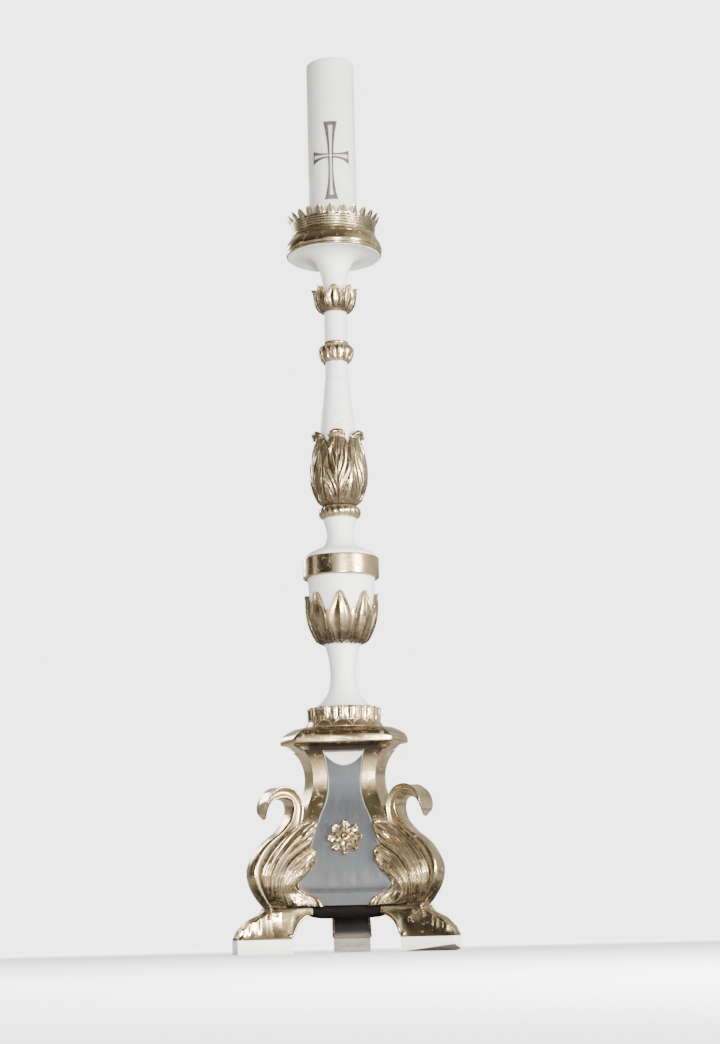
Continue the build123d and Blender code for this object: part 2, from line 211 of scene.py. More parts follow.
# ---- materials
class Nodes:
    """Short calls for building a node tree."""

    def __init__(self, tree):
        self.tree = tree
        self.place = self.node("ShaderNodeTexCoord").outputs["Object"]

    def node(self, kind, inputs=(), **settings):
        """New node with its inputs by name or number, and its settings."""
        new = self.tree.nodes.new(kind)
        for key, value in settings.items():
            setattr(new, key, value)
        for key, value in dict(inputs).items():
            self.put(new.inputs[key], value)
        return new

    def put(self, socket, value):
        """Feeds a socket from another, or sets its value."""
        if isinstance(value, bpy.types.NodeSocket):
            self.tree.links.new(value, socket)
        else:
            socket.default_value = (*value, 1) if socket.type == "RGBA" else value

    def stretch(self, scale):
        return self.node("ShaderNodeMapping", {"Vector": self.place, "Scale": scale}).outputs["Vector"]

    def noise(self, scale, detail=4.0, rough=0.55, vector=None, distortion=0.0):
        inputs = {"Vector": vector or self.place, "Scale": scale, "Detail": detail, "Roughness": rough,
                  "Distortion": distortion}
        return self.node("ShaderNodeTexNoise", inputs).outputs["Fac"]

    def cells(self, scale, feature="F1", vector=None):
        inputs = {"Vector": vector or self.place, "Scale": scale}
        return self.node("ShaderNodeTexVoronoi", inputs, feature=feature).outputs["Distance"]

    def ramp(self, value, low, high, out_low=0.0, out_high=1.0):
        inputs = {"Value": value, "From Min": low, "From Max": high, "To Min": out_low, "To Max": out_high}
        return self.node("ShaderNodeMapRange", inputs, interpolation_type="SMOOTHSTEP").outputs["Result"]

    def math(self, kind, a, b, clamp=False):
        return self.node("ShaderNodeMath", {0: a, 1: b}, operation=kind, use_clamp=clamp).outputs[0]

    def times(self, a, b):
        return self.math("MULTIPLY", a, b)

    def plus(self, a, b):
        return self.math("ADD", a, b)

    def most(self, a, b):
        return self.math("MAXIMUM", a, b)

    def mix(self, factor, a, b):
        return self.node("ShaderNodeMix", {"Factor": factor, 6: a, 7: b}, data_type="RGBA").outputs[2]

    def vector(self, kind, a, b, output="Vector"):
        return self.node("ShaderNodeVectorMath", {0: a, 1: b}, operation=kind).outputs[output]

    def split(self, vector):
        return self.node("ShaderNodeSeparateXYZ", {0: vector}).outputs

    def attribute(self, name):
        return self.node("ShaderNodeAttribute", attribute_name=name).outputs["Fac"]

    def hollow(self, distance):
        """Ambient occlusion: 1 in the open, less in hollows."""
        return self.node("ShaderNodeAmbientOcclusion", {"Distance": distance}, samples=8).outputs["AO"]

    def facing(self, low, high):
        """1 on faces that look at the axis or straight down, 0 elsewhere."""
        inward = self.vector("NORMALIZE", self.vector("MULTIPLY", self.place, (-1, -1, 0)), (0, 0, 0))
        normal = self.node("ShaderNodeNewGeometry").outputs["Normal"]
        down = self.times(self.split(normal)[2], -1.0)
        return self.ramp(self.most(self.vector("DOT_PRODUCT", inward, normal, "Value"), down), low, high)

    def bump(self, height, distance, strength, before=None):
        inputs = {"Height": height, "Distance": distance, "Strength": strength}
        if before is not None:
            inputs["Normal"] = before
        return self.node("ShaderNodeBump", inputs).outputs["Normal"]


class Paint(Nodes):
    """Node tree of a new material."""

    def __init__(self, name):
        self.material = bpy.data.materials.new(name)
        self.material.use_nodes = True
        super().__init__(self.material.node_tree)

    def old_wood(self, light):
        """Tone and grain of unpainted wood."""
        grain = self.noise(36, 6, 0.7, self.stretch((0.7, 0.7, 5)))
        return self.mix(self.ramp(grain, 0.35, 0.7), light, OLD_WOOD), grain

    def finish(self, **inputs):
        """Feeds the shader's inputs and gives the material."""
        for key, value in inputs.items():
            self.put(self.tree.nodes["Principled BSDF"].inputs[key.replace("_", " ")], value)
        return self.material


GOLD = (0.66, 0.51, 0.29)
GOLD_DEEP = (0.43, 0.30, 0.145)
GOLD_PALE = (0.80, 0.66, 0.42)
BOLE = (0.085, 0.042, 0.024)
GRIME_AND_SHADE = (0.020, 0.015, 0.011)
OLD_WOOD = (0.075, 0.052, 0.036)
SHADOW_BLACK = (0.006, 0.005, 0.004)
SHADE_AND_TARNISH = (0.075, 0.050, 0.027)


def gilding(name, burnish, wear, scratches=0.0):
    """Old gold leaf over red bole: uneven tone, rubbed high spots, grime and painted shade in hollows, and
    painted shade with some tarnish where marked.
    """
    n = Paint(name)
    cloud = n.noise(38, 5, 0.6)
    tone = n.mix(n.ramp(cloud, 0.32, 0.68), GOLD, GOLD_DEEP)
    tone = n.mix(n.ramp(n.cells(55), 0.1, 0.9, 0.0, 0.3), tone, GOLD_PALE)
    hollow = n.hollow(0.010)
    rubbed = n.times(n.ramp(n.noise(120, 6, 0.7), 0.60 - 0.06 * wear, 0.70), n.ramp(hollow, 0.75, 1.0))
    tone = n.mix(n.times(rubbed, wear), tone, BOLE)
    patch = n.noise(150, 6, 0.75)
    # Painted shade: the gilding goes dark and dull in hollows, by ambient occlusion, mixed with patches of
    # grime
    dirt = n.times(n.ramp(hollow, 0.38, 1.0, 1.0, 0.0), n.ramp(patch, 0.30, 0.62, 0.6, 1.0))
    # Where marked, painted shade with some tarnish and wear: a darker bronze tone, more specks, and full
    # grime where the mark is full
    marked = n.attribute("dirt")
    tone = n.mix(n.times(marked, n.ramp(n.noise(90, 5, 0.7), 0.3, 0.6, 0.72, 1.0)), tone, SHADE_AND_TARNISH)
    specks = n.ramp(n.plus(patch, n.times(marked, 0.35)), 0.74, 0.92)
    dirt = n.most(n.most(dirt, specks), n.ramp(marked, 0.93, 1.0))
    if scratches:
        streaks = n.noise(60, 3, 0.7, n.stretch((9, 9, 0.7)))
        dirt = n.most(dirt, n.ramp(streaks, 0.60, 0.66, 0.0, scratches))
    tone = n.mix(dirt, tone, GRIME_AND_SHADE)
    rough = n.plus(n.ramp(cloud, 0.3, 0.75, burnish - 0.04, burnish + 0.10), n.times(dirt, 0.4))
    rough = n.plus(rough, n.times(rubbed, 0.25))
    metal = n.math("SUBTRACT", 1.0, n.most(dirt, n.times(rubbed, 0.8)), clamp=True)
    bare = n.attribute("bare")
    bare_tone, _ = n.old_wood((0.17, 0.135, 0.10))
    # Painted shadow: bare wood above 30 mm turns near black; below 20 mm it stays bare wood
    low_down = n.ramp(n.split(n.place)[2], 0.020, 0.030, 0.9, 0.0)
    tone = n.mix(bare, tone, n.mix(low_down, SHADOW_BLACK, bare_tone))
    rough = n.most(rough, n.times(bare, 0.75))
    metal = n.times(metal, n.math("SUBTRACT", 1.0, bare))
    normal = n.bump(n.math("SUBTRACT", cloud, n.times(specks, 0.3)), 0.0007, 0.5)
    normal = n.bump(n.noise(420, 3, 0.6), 0.00012, 0.5, normal)
    return n.finish(Base_Color=tone, Roughness=rough, Metallic=metal, Normal=normal,
                    Specular_IOR_Level=n.ramp(dirt, 0.3, 1.0, 0.5, 0.06))


def white_paint(name, bare=False):
    """Old off-white paint on turned wood: faint turning lines, fine cracks, painted shade in the hollows.

    Where bare is true, the faces that look at the axis or down are unpainted wood.
    """
    n = Paint(name)
    cloud = n.noise(14, 5, 0.6)
    tone = n.mix(n.ramp(cloud, 0.3, 0.7), (0.94, 0.925, 0.885), (0.88, 0.86, 0.81))
    web = n.cells(70, "DISTANCE_TO_EDGE", n.stretch((1, 1, 0.35)))
    crack = n.times(n.ramp(web, 0.0, 0.018, 1.0, 0.0), n.ramp(n.noise(22, 3), 0.50, 0.64))
    tone = n.mix(n.times(crack, 0.55), tone, (0.26, 0.22, 0.17))
    # Painted shade: browner and darker in the hollows, by ambient occlusion
    tone = n.mix(n.ramp(n.hollow(0.02), 0.35, 0.9, 0.55, 0.0), tone, (0.42, 0.37, 0.29))
    chips = n.ramp(n.noise(160, 5, 0.7), 0.70, 0.73)
    tone = n.mix(n.times(chips, 0.7), tone, (0.38, 0.29, 0.19))
    lines = n.noise(40, 3, 0.6, n.stretch((0.4, 0.4, 9)))
    height = n.math("SUBTRACT", n.times(lines, 0.6), n.plus(crack, chips))
    if bare:
        bare_tone, grain = n.old_wood((0.20, 0.16, 0.12))
        raw = n.facing(0.72, 0.86)
        tone, height = n.mix(raw, tone, bare_tone), n.mix(raw, height, grain)
    return n.finish(Base_Color=tone, Roughness=n.ramp(cloud, 0.3, 0.7, 0.38, 0.55),
                    Normal=n.bump(height, 0.00025, 0.7), Coat_Weight=0.12, Coat_Roughness=0.3)


def panel_paint():
    """Blue-grey paint with a brushed grain and rubbed spots, pale paint where marked light (a pale lunette
    and a painted highlight), and painted shade in hollows.
    """
    n = Paint("panel_paint")
    grain = n.noise(55, 5, 0.65, n.stretch((3, 3, 0.5)))
    brushed = n.ramp(grain, 0.3, 0.7)
    tone = n.mix(brushed, (0.035, 0.037, 0.039), (0.050, 0.052, 0.055))
    tone = n.mix(n.ramp(n.noise(20, 5, 0.6), 0.42, 0.72, 0.0, 0.75), tone, (0.034, 0.035, 0.037))
    spots = n.ramp(n.noise(190, 4, 0.7), 0.69, 0.73)
    tone = n.mix(n.times(spots, 0.6), tone, (0.42, 0.40, 0.36))
    tone = n.mix(n.attribute("light"), tone, n.mix(brushed, (0.80, 0.78, 0.73), (0.70, 0.675, 0.62)))
    # Painted shade: darker in the hollows, by ambient occlusion
    tone = n.mix(n.ramp(n.hollow(0.012), 0.3, 0.9, 0.6, 0.0), tone, (0.07, 0.065, 0.06))
    return n.finish(Base_Color=tone, Roughness=n.ramp(grain, 0.3, 0.7, 0.45, 0.62),
                    Normal=n.bump(grain, 0.0002, 0.6))


def wood(name, light, dark, sheen=0.5, stained=1.0):
    """Bare old wood with its grain upright."""
    n = Paint(name)
    upright = n.stretch((0.6, 0.6, 6))
    grain = n.noise(30, 6, 0.65, upright, 0.4)
    rays = n.noise(160, 3, 0.6, upright)
    tone = n.mix(n.ramp(grain, 0.3, 0.7), light, dark)
    tone = n.mix(n.ramp(rays, 0.5, 0.7, 0.0, 0.5 * stained), tone, (0.06, 0.045, 0.03))
    tone = n.mix(n.ramp(n.noise(16, 4), 0.4, 0.75, 0.0, 0.5 * stained), tone, (0.10, 0.075, 0.05))
    return n.finish(Base_Color=tone, Roughness=0.72, Specular_IOR_Level=sheen,
                    Normal=n.bump(n.plus(grain, n.times(rays, 0.5)), 0.0005, 0.7))


def sheet_brass():
    """Tarnished sheet brass with fine hand-planished dents."""
    n = Paint("sheet_brass")
    cloud = n.noise(45, 5, 0.6)
    tone = n.mix(n.ramp(cloud, 0.3, 0.7), (0.66, 0.54, 0.33), (0.30, 0.235, 0.135))
    spots = n.ramp(n.noise(230, 4, 0.7), 0.56, 0.66)
    tone = n.mix(n.times(spots, 0.45), tone, (0.07, 0.055, 0.035))
    return n.finish(Base_Color=tone, Metallic=1.0, Roughness=n.ramp(cloud, 0.3, 0.7, 0.20, 0.36),
                    Normal=n.bump(n.cells(90), 0.0002, 0.2))


def iron():
    """Dark forged iron with a rusty bloom."""
    n = Paint("forged_iron")
    cloud = n.noise(120, 6, 0.7)
    tone = n.mix(n.ramp(cloud, 0.4, 0.7), (0.07, 0.065, 0.06), (0.16, 0.08, 0.045))
    return n.finish(Base_Color=tone, Metallic=n.ramp(cloud, 0.4, 0.65, 0.9, 0.3),
                    Roughness=n.ramp(cloud, 0.3, 0.7, 0.42, 0.8), Normal=n.bump(n.cells(260), 0.0004, 0.7))


def wax():
    """Ivory wax with light under its surface, faint flow marks and dust."""
    n = Paint("candle_wax")
    cloud = n.noise(24, 4, 0.5)
    flow = n.noise(60, 3, 0.5, n.stretch((1, 1, 0.25)))
    tone = n.mix(n.ramp(cloud, 0.3, 0.7), (0.86, 0.845, 0.79), (0.82, 0.80, 0.735))
    tone = n.mix(n.ramp(n.noise(300, 3, 0.7), 0.66, 0.72, 0.0, 0.25), tone, (0.45, 0.40, 0.32))
    return n.finish(Base_Color=tone, Roughness=n.ramp(cloud, 0.3, 0.7, 0.32, 0.5), Subsurface_Weight=0.35,
                    Subsurface_Radius=(0.006, 0.004, 0.0025), Subsurface_Scale=1.0,
                    Normal=n.bump(flow, 0.0004, 0.35))


def cross_wax():
    """Dark coloured wax, pale where marked light."""
    n = Paint("cross_wax")
    cloud = n.noise(90, 4, 0.6)
    tone = n.mix(n.ramp(cloud, 0.3, 0.7), (0.055, 0.048, 0.042), (0.11, 0.095, 0.08))
    tone = n.mix(n.attribute("light"), tone, (0.62, 0.59, 0.53))
    return n.finish(Base_Color=tone, Roughness=0.42, Normal=n.bump(n.noise(400), 0.0002, 0.5))


def braid():
    """Braided cotton with a charred end."""
    n = Paint("wick_cotton")
    weave = n.node("ShaderNodeTexWave", {"Vector": n.place, "Scale": 420}, wave_type="BANDS",
                   bands_direction="DIAGONAL")
    burnt = n.ramp(n.split(n.place)[2], 1.2915, 1.2965)
    tone = n.mix(burnt, (0.62, 0.56, 0.45), (0.03, 0.026, 0.022))
    return n.finish(Base_Color=tone, Roughness=0.9, Normal=n.bump(weave.outputs["Fac"], 0.0004, 0.8))


GILT = gilding("gilding", burnish=0.15, wear=0.35)
GILT_WORN = gilding("gilding_worn", burnish=0.22, wear=0.9, scratches=0.8)
GILT_STILE = gilding("gilding_stile", burnish=0.17, wear=0.6)
WHITE = white_paint("white_paint")
WHITE_BLOCK = white_paint("white_block_paint", bare=True)
PANEL = panel_paint()
WOOD = wood("bare_wood", (0.185, 0.135, 0.088), (0.105, 0.074, 0.048))
# Near-black wood for the base block: painted shade under the pedestal
SHADE_DARK_WOOD = wood("shade_dark_wood", (0.010, 0.0075, 0.006), (0.005, 0.004, 0.003), sheen=0.15, stained=0.15)
BRASS = sheet_brass()
IRON = iron()
WAX = wax()
CROSS_WAX = cross_wax()
COTTON = braid()


# ---- turned shaft
def turned(node, *parts, name=None, material=WHITE):
    """Profile of (r, z) with flat ends, turned about the shaft's axis, slightly out of round."""
    a = turns(192)
    first, last = parts[0], parts[-1]
    r, z = runs([(0, first[0][1]), *first], *parts[1:], [(0, last[-1][1])]).T[:, None, :]
    swell = 0.18 * (np.sin(2 * a + 1.3) + 0.6 * np.sin(3 * a + z[0, 0]))
    grid = around(np.maximum(r + swell * (r > 1), 0.05), a, z)
    make(name or f"{node}_turned", node, ring(grid), material)


# Heights (mm) where a turned piece ends and the next one begins
STEM_TOP, VASE_TOP, BAND_TOP, NECK_TOP, SHAFT_JOINT = 421.5, 517.5, 546, 603.5, 808

turned("stem_lower", [(42, 300)], [(42, 334.4)],
       [(37.5, 337), (32.5, 341), (22, 356), (18, 375), (18, 392), (21, 411), (24, STEM_TOP)])
turned("vase", [(23.6, STEM_TOP)],
       [(30, 426), (37, 440), (41, 454), (44, 470), (45.3, 490), (47.2, 514), (48, VASE_TOP)])
turned("vase_band", [(53, VASE_TOP)], [(53.9, 518.6)], [(53.9, 544.8)], [(53.1, BAND_TOP)],
       name="vase_band_gilt", material=GILT_WORN)
turned("neck", [(50, BAND_TOP)], [(48.5, 550), (43, 554.6), (34.5, 557.6)], [(34.2, 559)],
       [(25.5, 562.5), (20.2, 571), (18.9, 584.5), (23.5, NECK_TOP)])
turned("shaft_lower", [(26, 700)], [(25.6, 726), (22.5, 756), (19.6, 779), (16.9, 807.2)],
       [(16.3, SHAFT_JOINT)])
turned("shaft_upper", [(16, SHAFT_JOINT)], [(16.4, 808.9)], [(15.6, 836)])
turned("stem_upper", [(16.3, 862)], [(16.3, 909)])
turned("trumpet", [(16.3, 908)],
       [(16.4, 935), (18.2, 959), (22, 973), (27, 984), (34.5, 990.5), (44, 993.8), (54, 994.2),
        (63, 992.8), (66.6, 992)],
       [(67.2, 992.6)], [(63, 994.6), (54, 996.6)], [(45, 998.2)])
turned("pan", [(45, 997.5)], [(56, 996.3), (64, 993.8), (67.6, 993.2)], [(68.8, 993.9), (69.1, 995.4)],
       [(68.3, 996.6)], [(69.8, 999.5), (69.2, 1006), (66.4, 1012.5), (63, 1016.8)], [(62.6, 1018)],
       [(62.8, 1019.3), (62.4, 1020.6), (61.2, 1021)], name="drip_pan_turned", material=GILT)


# ---- carved rings of leaves
def leaf_shape(u, t, width, rib=0.25, veins=0, slant=0.0):
    """Height of a leaf at u across its pitch and t up its length, and where it is; its halves are hollow."""
    x = np.abs(u) / np.maximum(width(t), 1e-3)
    inside = 1 - smooth(x, 0.93, 1.03)
    scoop = 0.45 + 0.55 * np.abs(2 * np.clip(x, 0, 1) - 1) ** 1.6
    h = np.maximum(scoop, bell(u, 0, 0.48 * rib) * (1.05 - 0.5 * t))
    if veins:
        ribs = 0.5 + 0.5 * np.cos(TAU * (veins * t - slant * x))
        h = h * (0.80 + 0.20 * ribs) - 0.08 * (1 - ribs)
    return h * inside, inside


def lance(peak, tip=1.0, foot=0.55):
    """Half width of a lance-shaped leaf, from its foot to its pointed tip."""
    def width(t):
        lower = foot + (peak - foot) * np.sin(np.clip(t / 0.55, 0, 1) * QUARTER)
        upper = peak * (1 - np.clip((t - 0.45) / (tip - 0.45), 0, 1) ** 1.6)
        return np.where(t < 0.45, lower, np.minimum(lower, upper))
    return width


def radius_of(points):
    """Radius as a function of height, through points of (r, z)."""
    line = spline(points, 200)
    line = line[np.argsort(line[:, 1])]
    return lambda z: np.interp(z, line[:, 1], line[:, 0])


def leaf_cup(leaves, low, tip, dip, outer, inner, relief, count, rows, curl, peak, notch, back, back_tip,
             veins=0, slant=0.0, crease=0.0, scallop=0.0):
    """Closed ring of upright leaves, one of them to the front, and how deep in shade each point is.

    Leaves rise from low to tip and dip between, over narrower ones behind, on a wall from inner to outer.
    """
    a = turns(count)
    laps = a / TAU * leaves + leaves / 4
    main, second = wave(laps), wave(laps + 0.5)
    edge_main = tip - (tip - dip) * np.clip(np.abs(main) / peak / 1.05, 0, 1) ** notch
    edge_back = dip + (tip - dip) * back_tip * (1 - np.clip(np.abs(second) / (0.75 * peak), 0, 1) ** 1.2)
    bottom = low + scallop * wave(a / TAU * leaves * 3) ** 2
    z = bottom + (np.maximum(edge_main, edge_back) - bottom) * np.linspace(0, 1, rows)[None, :]
    level = (z - low) / (tip - low)
    front, mask = leaf_shape(main, level, lance(peak), veins=veins, slant=slant)
    rear, _ = leaf_shape(second, level, lance(peak * 0.8), rib=0.2)
    height = np.maximum(front - crease * bell(main, 0, 0.055), back * rear * (1 - mask))
    bend = curl * smooth(level, 0.80, 1.0) ** 2 * mask
    out_r = outer(z) + relief * (height * smooth(level, 0.0, 0.08) - 0.35) + bend
    in_r = np.minimum(inner(z) + 0.8 * bend, out_r - 1.1)
    # Painted shade: darker low on the leaves and between them; it is painted into the gilding's colour
    shade = 1 - smooth(level - 0.12 * height, 0.08, 0.60)
    return around(folded(out_r, in_r), a, folded(z, z)), folded(shade, shade)


def vase_leaves():
    """Tall lance leaves round the lower vase, with narrow ones between."""
    outer = radius_of([(24.2, 421), (33, 427), (41.5, 442), (46.6, 458), (48.6, 474), (48.2, 488),
                       (47, 496)])
    inner = radius_of([(20, 420), (29, 427), (36, 440), (40.5, 454), (43.5, 470), (44.8, 490),
                       (45.5, 496)])
    grid, shade = leaf_cup(8, 421.6, 494.5, 447, outer, inner, 4.8, 1024, 96, curl=1.8, peak=0.90,
                           notch=2.0, back=0.5, back_tip=0.45, scallop=2.6)
    make("vase_leaf_cup_carved", "vase_leaf_cup", ring(grid), GILT, dirt=0.92 * shade)


def calyx_leaves():
    """Small calyx at the trumpet's foot."""
    outer = radius_of([(17.2, 907.5), (22.5, 911.5), (27, 920), (29, 930), (30, 939), (30.5, 946)])
    inner = radius_of([(14, 907), (16.5, 911), (21, 920), (24.5, 930), (26.5, 939), (27.5, 946)])
    grid, shade = leaf_cup(8, 908, 944.2, 925, outer, inner, 3.6, 768, 64, curl=2.4, peak=0.88,
                           notch=2.8, back=0.6, back_tip=0.5)
    make("calyx_carved", "calyx", ring(grid), GILT, dirt=0.8 * shade)


def leaf_lip(angle, radius, foot, half_width):
    """Tip of a leaf rolled outwards: a hooked lip that thins and droops to both sides."""
    section = spline([(-1.8, -7), (-1.4, 0.0), (0.6, 3.4), (4.2, 4.6), (7.2, 2.8), (8.0, -0.9), (6.9, -1.9),
                      (5.2, 0.3), (3.2, 0.4), (1.6, -2.4), (0.9, -7)], 49, closed=True)[:-1]
    across = np.linspace(-1, 1, 61)[:, None]
    size = (0.18 + 0.82 * np.sqrt(1 - 0.995 * across ** 2)) * (1 - 0.16 * bell(across, 0, 0.13))
    size = size * (1 + 0.05 * np.cos(TAU * 2.5 * across))
    r = radius + size * section[None, :, 0] - 1.2 * across ** 2
    z = foot + size * section[None, :, 1] - 4.5 * across ** 2
    return tube(around(r, angle + across * half_width / radius, z))


def bulb_leaves():
    """Six acanthus leaves wrapped round the bulb, each with its tip rolled outwards."""
    leaves = 6
    outer = radius_of([(23.5, 620.5), (28.5, 627), (36.2, 644), (39.6, 662), (39.4, 675), (36.8, 695),
                       (32.6, 715), (31.4, 730)])
    inner = radius_of([(15, 620), (20, 627), (24, 645), (26, 670), (26, 695), (26.3, 715), (27.5, 730)])
    grid, shade = leaf_cup(leaves, 621, 725.5, 699, outer, inner, 4.4, 1080, 170, curl=1.6, peak=0.92,
                           notch=3.6, back=0.8, back_tip=0.35, veins=4.5, slant=2.6, crease=0.75)
    lips = [leaf_lip(k / leaves * TAU - QUARTER, 32.6, 724.0, 12.0) for k in range(leaves)]
    surface = join([ring(grid)] + lips)
    # Painted shade and dark reflection: the leaves darken low down and towards their tops
    dirt = np.maximum(0.75 * shade, 0.6 * smooth(grid[:, :, 2], 694, 716))
    make("bulb_acanthus", "bulb", surface, GILT, dirt=first_only(dirt, surface))


def bead_ring():
    """Ring of slanting beads under the bulb."""
    beads = 17
    a, s = turns(640), turns(48).T
    bump = np.abs(np.cos(0.5 * beads * a + 0.8 * np.sin(s))) ** 0.7 - 0.6
    thick = 7.4 + 1.7 * bump * smooth(np.cos(s), -0.2, 0.7)
    z = 612.2 + (8.6 + 0.5 * bump) * np.sin(s)
    grid = around(22.6 + 0.96 * thick * np.cos(s), a, np.clip(z, NECK_TOP + 0.1, 621))
    make("bead_ring_carved", "bead_ring", ring(grid), GILT)


def leaf_ring():
    """Small ring of leaves hanging over a roll."""
    leaves = 9
    a = turns(640)
    section = runs([(15, 863.5), (17.6, 863.5)], [(18.3, 862), (17.8, 859.8)],
                   [(20.5, 858), (24.2, 853.5), (24.6, 847), (22, 840.5), (18.4, 837)],
                   [(17.4, 835)], [(15, 834.6)], [(15, 863.5)], step=0.7)[:-1]
    r, z = section.T[:, None, :]
    face = smooth(r, 18.3, 20.5) * (z < 860)
    down = np.clip((859 - z) / 24, 0, 1) * 0.8
    h, mask = leaf_shape(0.95 * wave(a / TAU * leaves), down, lance(0.86, foot=0.7))
    tip = mask * (r > 17)
    rr = r + face * (2.6 * h - 1.6) + 1.6 * tip * smooth(842 - z, 0, 6)
    grid = around(rr, a, z - 2.4 * tip * smooth(846 - z, 0, 9))
    make("leaf_ring_carved", "leaf_ring", ring(grid), GILT)


def collar():
    """Collar with a frieze of upright tongues under its rim, and arched lobes on its flared foot."""
    leaves, lobes = 14, 12
    a = turns(1008)
    section = runs([(30, 334), (47.5, 334)], [(49.4, 333.4), (50.2, 331.8)], [(49.6, 330.0)], [(49.2, 317)],
                   [(50.2, 314.2), (52.4, 309.5), (55.4, 305.8), (57.4, 304.5)], [(57.2, 303.6)],
                   [(30, 303.6)], [(30, 334)], step=0.6)[:-1]
    r, z = section.T[:, None, :]
    laps = a / TAU * leaves
    down = 1 - np.clip((z - 313) / 21, 0, 1)
    front, _ = leaf_shape(wave(laps), down, lance(0.80, tip=1.25, foot=0.72), rib=0.3)
    back, _ = leaf_shape(wave(laps + 0.5), down, lance(0.42, tip=1.1, foot=0.42), rib=0.2)
    frieze = (r > 45) * smooth(z, 313.5, 317) * (3.0 * np.maximum(front, 0.6 * back) - 1.4)
    arch = 304.0 + 10.5 * np.sqrt(np.clip(1 - (wave(a / TAU * lobes) / 0.92) ** 2, 0, 1))
    flare = (r > 49) * smooth(z, 303.7, 304.4) * (1 - smooth(z, 314, 316))
    lobe = flare * (1.3 * smooth(arch - z, -0.4, 0.9) - 0.8 * bell(arch, z, 0.9) - 0.4)
    crest = (r > 45) * smooth(z, 330, 334) * 0.9 * (np.cos(2 * leaves * a) - 1)
    make("collar_carved", "collar", ring(around(r + frieze + lobe, a, z + crest)), GILT)


def gallery():
    """Sheet-brass gallery: ridged band under a row of pointed leaves bent outwards, with pressed midribs."""
    leaves, low, sheet = 24, 1021.2, 1.0
    a = turns(leaves * 28)
    u = np.abs(wave(a / TAU * leaves))
    leaf_top = 1041.8 + 11.0 * (1 - np.clip(u / 0.97, 0, 1) ** 1.9)
    z = low + (leaf_top - low) * np.linspace(0, 1, 84)[None, :]
    r = 59.4 + 1.0 * smooth(z, 1021, 1040) + 6.6 * smooth(z, 1037, 1054) ** 1.2 + 0.7 * bell(z, 1022.4, 0.9)
    r = r + 0.9 * sum(bell(z, ridge, 0.75) for ridge in (1027.6, 1031.2, 1034.8, 1038.4))
    r = r + 0.9 * bell(u, 0, 0.14) * smooth(z, 1040, 1044)
    r = r - 0.9 * smooth(u, 0.45, 0.95) * smooth(z, 1039, 1043)
    grid = around(folded(r, r - sheet), a, folded(z, z))
    make("gallery_ring_sheet", "gallery_ring", ring(grid), BRASS, body="gallery")


vase_leaves()
calyx_leaves()
bulb_leaves()
bead_ring()
leaf_ring()
collar()
gallery()


# ---- pedestal
LEG_ANGLES = {"left": 210.0, "right": 330.0, "rear": 90.0}
SIDE_ANGLES = {"front": 270.0, "left": 150.0, "right": 30.0}
SIDE_LINE = spline([(69.5, 60), (69.5, 79), (71.5, 86), (72, 95), (70, 115), (65, 140), (58.5, 163),
                    (52, 184), (46.5, 200), (42, 216), (40, 232), (42, 252), (46, 264), (51, 272)], 300)

# Scroll strap of a leg, from ankle to curled tip: distance from the axis and height of its outer line,
# then of its inner line, and half width
SCROLL = [
    (124, 61, 98, 61, 12), (134, 73, 106, 73, 13), (143, 88, 113, 88, 14), (147, 104, 116, 104, 14.5),
    (144.5, 120, 113, 117, 14.5), (134, 137.5, 104, 131, 14.5), (120, 151, 92, 146, 15),
    (106, 161.5, 82, 159, 15.5), (94.5, 174, 77.5, 170, 16.5), (89.5, 184, 75, 181.5, 17.2),
    (88, 195, 74.5, 194, 17.5), (90.9, 203.8, 77.5, 206.5, 17.5), (98, 207.3, 88, 219.5, 17.5),
    (106, 207.3, 105, 222.8, 17.5), (115, 205.2, 118.5, 216.3, 17.8), (121.9, 201.5, 126, 206.5, 18),
    (125.3, 195, 128.9, 197, 16.8), (126.6, 187, 129.6, 187.5, 12.5), (124.4, 179.5, 126.6, 178.5, 3)]
# Flow lines of the leaf on a leg's flank, from ankle to lobed edge: (distance along the long side, height)
LEAF_FLOW = [
    [(105, 67), (109, 84), (112, 103), (107, 121), (94, 141), (77, 160), (63, 171)],
    [(101, 66), (103, 84), (102, 103), (95, 121), (83, 141), (66, 161), (50, 175)],
    [(95, 65), (97, 83), (95, 101), (87, 119), (73, 139), (54, 158), (37, 173)],
    [(90, 65), (91, 81), (90, 97), (83, 113), (73, 129), (58, 142), (42, 155)],
    [(87, 65), (88, 80), (86, 96), (80, 111), (70, 126), (58, 136), (47, 144)],
    [(84, 65), (85, 80), (83, 96), (76, 110), (66, 122), (55, 132), (43, 139)],
    [(77, 64), (79, 77), (77, 90), (70, 103), (59, 116), (48, 127), (39, 136)],
    [(64, 63), (70, 73), (71, 83), (66, 93), (55, 104), (45, 116), (38, 129)],
    [(29.5, 61), (36, 72), (50, 79), (61, 87), (61, 95), (52, 103), (39, 120)]]
# How far a flank leaf swells out of its leg (height, swell)
BULGE = [(60, 2), (75, 9), (90, 13), (110, 14), (130, 11), (150, 7), (176, 2)]
# Paw: (distance from the axis, height) of its top and underside, then (distance, half width) low and high
FOOT_TOP = [(66, 62.4), (80, 62.5), (100, 62.5), (119, 62.5), (126, 61), (131, 56.8), (138, 52),
            (148, 46.5), (156, 41), (163, 35), (168, 28.5), (171, 21)]
FOOT_UNDER = [(66, 52), (73, 50.5), (80, 47.5), (86, 43.5), (90, 39), (93.5, 32), (96, 24), (98, 19),
              (171, 19)]
FOOT_LOW_HALF = [(66, 24.5), (98, 26), (150, 14.5), (165, 11.2), (171, 8.6)]
FOOT_HIGH_HALF = [(66, 23.5), (90, 21), (110, 17), (122, 12.5), (135, 12), (150, 11.5), (165, 9.6),
                  (171, 7.4)]
PLINTH_TOP = 19.0
SIN_30, COS_30 = 0.5, 0.866


def side_distance(z):
    """Distance from the axis to a long side's outer face at a height."""
    return np.interp(z, SIDE_LINE[:, 1], SIDE_LINE[:, 0])


